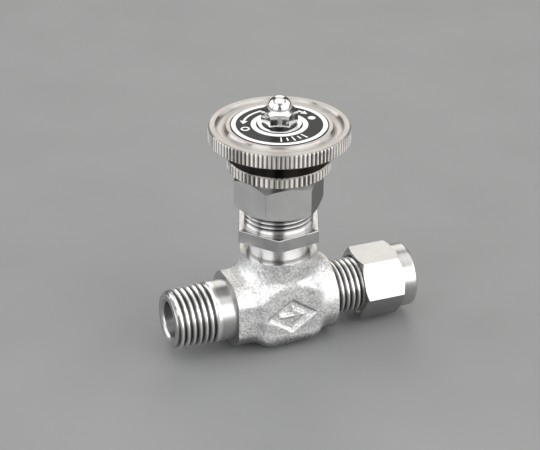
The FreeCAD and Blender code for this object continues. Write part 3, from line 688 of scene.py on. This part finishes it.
def make_machined_ends():
    """The body's threads, bores and faces, copied as they are from the CAD body."""
    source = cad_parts["valve_body"].data
    centres = np.array([polygon.center for polygon in source.polygons]) / MM
    normals = np.array([polygon.normal for polygon in source.polygons])
    x = centres[:, 0] - STEM_X / MM
    y, z = centres[:, 1], centres[:, 2]
    hair = 0.01
    faces_up = normals[:, 2] > 0.9
    keep = (x < ARM_LEFT_END + hair) | (x > ARM_RIGHT_END - hair)
    keep |= (z > BOSS_TOP - hair) & faces_up
    keep |= np.hypot(y, z) < FLOW_BORE_REACH
    keep |= (np.hypot(x, y) < STEM_BORE_REACH) & (z > STEM_BORE_FLOOR)
    work = bmesh.new()
    work.from_mesh(source)
    work.faces.ensure_lookup_table()
    dropped = [work.faces[number] for number in np.nonzero(~keep)[0]]
    bmesh.ops.delete(work, geom=dropped, context="FACES")
    bmesh.ops.remove_doubles(work, verts=work.verts[:], dist=0.0002 * MM)
    mesh = bpy.data.meshes.new("body_machined")
    work.to_mesh(mesh)
    work.free()
    mesh.shade_smooth()
    mesh.set_sharp_from_angle(angle=math.radians(28))
    return mesh


# ---------------------------------------------------------------- marks on the name plate
# Radii in millimetres about the stem axis, angles in degrees from +X.

PRINT_HEIGHT = 0.03
OUTER_BAND = (9.15, 10.08)
INNER_BAND = (4.9, 6.0)
SYMBOL_RADIUS = 7.5
OPEN_ANGLE = 176.0
SHUT_ANGLE = 3.5
TICK_ANGLES = range(-110, -60, 10)
LONG_TICK = 1.0
SHORT_TICK = 0.7
TICK_HALF_ANGLE = 1.1


def polar(radius, angle):
    turn = math.radians(angle)
    return (radius * math.cos(turn), radius * math.sin(turn))


def add_strip(work, inner, outer, closed=False):
    """A flat strip between two lines of points, thickened upwards."""
    low = [work.verts.new((x, y, 0.0)) for x, y in inner]
    high = [work.verts.new((x, y, 0.0)) for x, y in outer]
    count = len(low)
    faces = []
    for a in range(count if closed else count - 1):
        b = (a + 1) % count
        faces.append(work.faces.new((low[a], high[a], high[b], low[b])))
    raised = bmesh.ops.extrude_face_region(work, geom=faces)
    for item in raised["geom"]:
        if isinstance(item, bmesh.types.BMVert):
            item.co.z += PRINT_HEIGHT


def add_arc(work, radius, width, start, end):
    steps = max(8, int(abs(end - start) / 2))
    angles = [start + (end - start) * step / steps for step in range(steps + 1)]
    closed = abs(end - start) >= 360
    if closed:
        angles = angles[:-1]
    inner = [polar(radius - width / 2, angle) for angle in angles]
    outer = [polar(radius + width / 2, angle) for angle in angles]
    add_strip(work, inner, outer, closed)


def add_arrow(work, radius, start, end, width, head):
    """An arc with a three-cornered head at its end."""
    sense = 1 if end > start else -1
    head_turn = sense * math.degrees(head / radius)
    add_arc(work, radius, width, start, end - 0.8 * head_turn)
    base = end - head_turn
    tip = polar(radius, end)
    add_strip(
        work,
        [polar(radius - 0.55 * head, base), tip],
        [polar(radius + 0.55 * head, base), polar(radius + 0.02, end)],
    )


def add_circle(work, centre, radius, hole, steps=32):
    """A round dot, or a ring if it has a hole."""
    turns = [2 * math.pi * step / steps for step in range(steps)]
    outer = [(centre[0] + radius * math.cos(t), centre[1] + radius * math.sin(t)) for t in turns]
    inner = [(centre[0] + hole * math.cos(t), centre[1] + hole * math.sin(t)) for t in turns]
    add_strip(work, inner, outer, True)


def make_plate_print():
    """White bands, turning arrows, an open circle, a full dot and a small scale."""
    work = bmesh.new()
    for inner, outer in (OUTER_BAND, INNER_BAND):
        add_arc(work, (inner + outer) / 2, outer - inner, 0, 360)
    add_arrow(work, radius=7.6, start=98, end=157.5, width=0.5, head=1.5)
    add_arrow(work, radius=7.8, start=44, end=19, width=0.5, head=1.4)
    add_circle(work, polar(SYMBOL_RADIUS, OPEN_ANGLE), radius=0.95, hole=0.6)
    add_circle(work, polar(SYMBOL_RADIUS, SHUT_ANGLE), radius=0.8, hole=0.05)
    for number, angle in enumerate(TICK_ANGLES):
        reach = SHORT_TICK if number % 2 else LONG_TICK
        sides = (angle - TICK_HALF_ANGLE, angle + TICK_HALF_ANGLE)
        inner = [polar(SYMBOL_RADIUS - reach, side) for side in sides]
        outer = [polar(SYMBOL_RADIUS + reach, side) for side in sides]
        add_strip(work, inner, outer)
    bmesh.ops.recalc_face_normals(work, faces=work.faces[:])
    mesh = bpy.data.meshes.new("plate_print")
    work.to_mesh(mesh)
    work.free()
    mesh.transform(Matrix.Translation((STEM_X, 0, PLATE_TOP)) @ Matrix.Diagonal((MM, MM, MM, 1)))
    return mesh


# ---------------------------------------------------------------- the scene

make_camera()
make_lights()
make_floor()
bpy.context.scene.view_settings.view_transform = "Standard"

steel = rgb(0.53, 0.008)
satin = rgb(0.44, 0.004)
nickel_color = (0.50, 0.478, 0.458, 1.0)

# millimetres from the axis to the wrench flats, or a hair beyond them on the acorn nut
LARGE_FLATS = 8.5
TUBE_NUT_FLATS = 7.0
ACORN_FLATS = 3.4

# start and end along the axis, crest radius at both, and depth, in millimetres
bonnet_thread = (19.3, 28.0, 7.4, 7.4, 0.6)
neck = (12.6, 16.1, 6.38, 6.38, 0.6)
inlet_thread = (0.6, 9.9, 6.4, 6.7, 0.78)
outlet_thread = (37.0, 49.2, 5.95, 5.95, 0.72)

steel_on_stem = turned_steel(
    "turned_steel_stem",
    "Z",
    steel,
    roughness=0.31,
    anisotropy=1.0,
    flats=LARGE_FLATS,
    crests=[bonnet_thread, neck],
)
steel_on_flow = turned_steel(
    "turned_steel_flow",
    "X",
    steel,
    roughness=0.33,
    anisotropy=0.35,
    crests=[inlet_thread, outlet_thread],
    bore=3.95,
)
steel_gland_nut = turned_steel(
    "milled_steel_gland_nut", "Z", satin, roughness=0.50, anisotropy=1.0, flats=LARGE_FLATS
)
steel_tube_nut = turned_steel(
    "turned_steel_tube_nut", "X", steel, roughness=0.30, anisotropy=0.35, flats=TUBE_NUT_FLATS
)
nickel = turned_steel(
    "satin_nickel",
    "Z",
    nickel_color,
    roughness=0.32,
    anisotropy=1.0,
    crests=[knurl("handwheel")],
)
# the lock ring's top face is painted near black as shade under the handwheel
nickel_with_shaded_top = turned_steel(
    "nickel_lock_ring",
    "Z",
    nickel_color,
    roughness=0.32,
    anisotropy=1.0,
    crests=[knurl("lock_ring")],
    shaded_top=True,
)
chrome = turned_steel(
    "bright_chrome",
    "Z",
    rgb(0.80),
    roughness=0.21,
    anisotropy=0.0,
    marks=0.3,
    flats=ACORN_FLATS,
    crevice_shade=0.1,
)
# the spring washer is painted near black as the shade in the gap under the acorn nut
spring_washer_shade = turned_steel(
    "spring_washer_painted_shade", "Z", rgb(0.035), roughness=0.35, anisotropy=0.0, marks=0.5
)

forging_piece = piece("body_forging", make_forging(), forged_steel(), "valve")
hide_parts("valve_body")
ends_piece = piece("body_machined", make_machined_ends(), steel_on_flow, "valve")
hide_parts("valve_body")
piece("plate_print", make_plate_print(), white_print(), "spindle")

paint("gland_nut", steel_gland_nut)
for node in ("bonnet", "stem", "needle_tip", "needle_retaining_ring"):
    paint(node, steel_on_stem)
paint("packing_base_washer", steel_on_stem)
paint("gland_follower", steel_on_stem)
for node in ("tube_nut", "front_ferrule", "back_ferrule"):
    paint(node, steel_tube_nut)
paint("handwheel", nickel)
paint("lock_ring", nickel_with_shaded_top)
for node in ("plain_washer", "acorn_nut"):
    paint(node, chrome)
paint("spring_washer", spring_washer_shade)
paint("name_plate", enamel())
packing = fluoropolymer("packing_ptfe", 0.86)
for number in (1, 2, 3):
    paint("packing_ring_%d" % number, packing)
paint("bonnet_gasket", fluoropolymer("gasket_ptfe", 0.76))
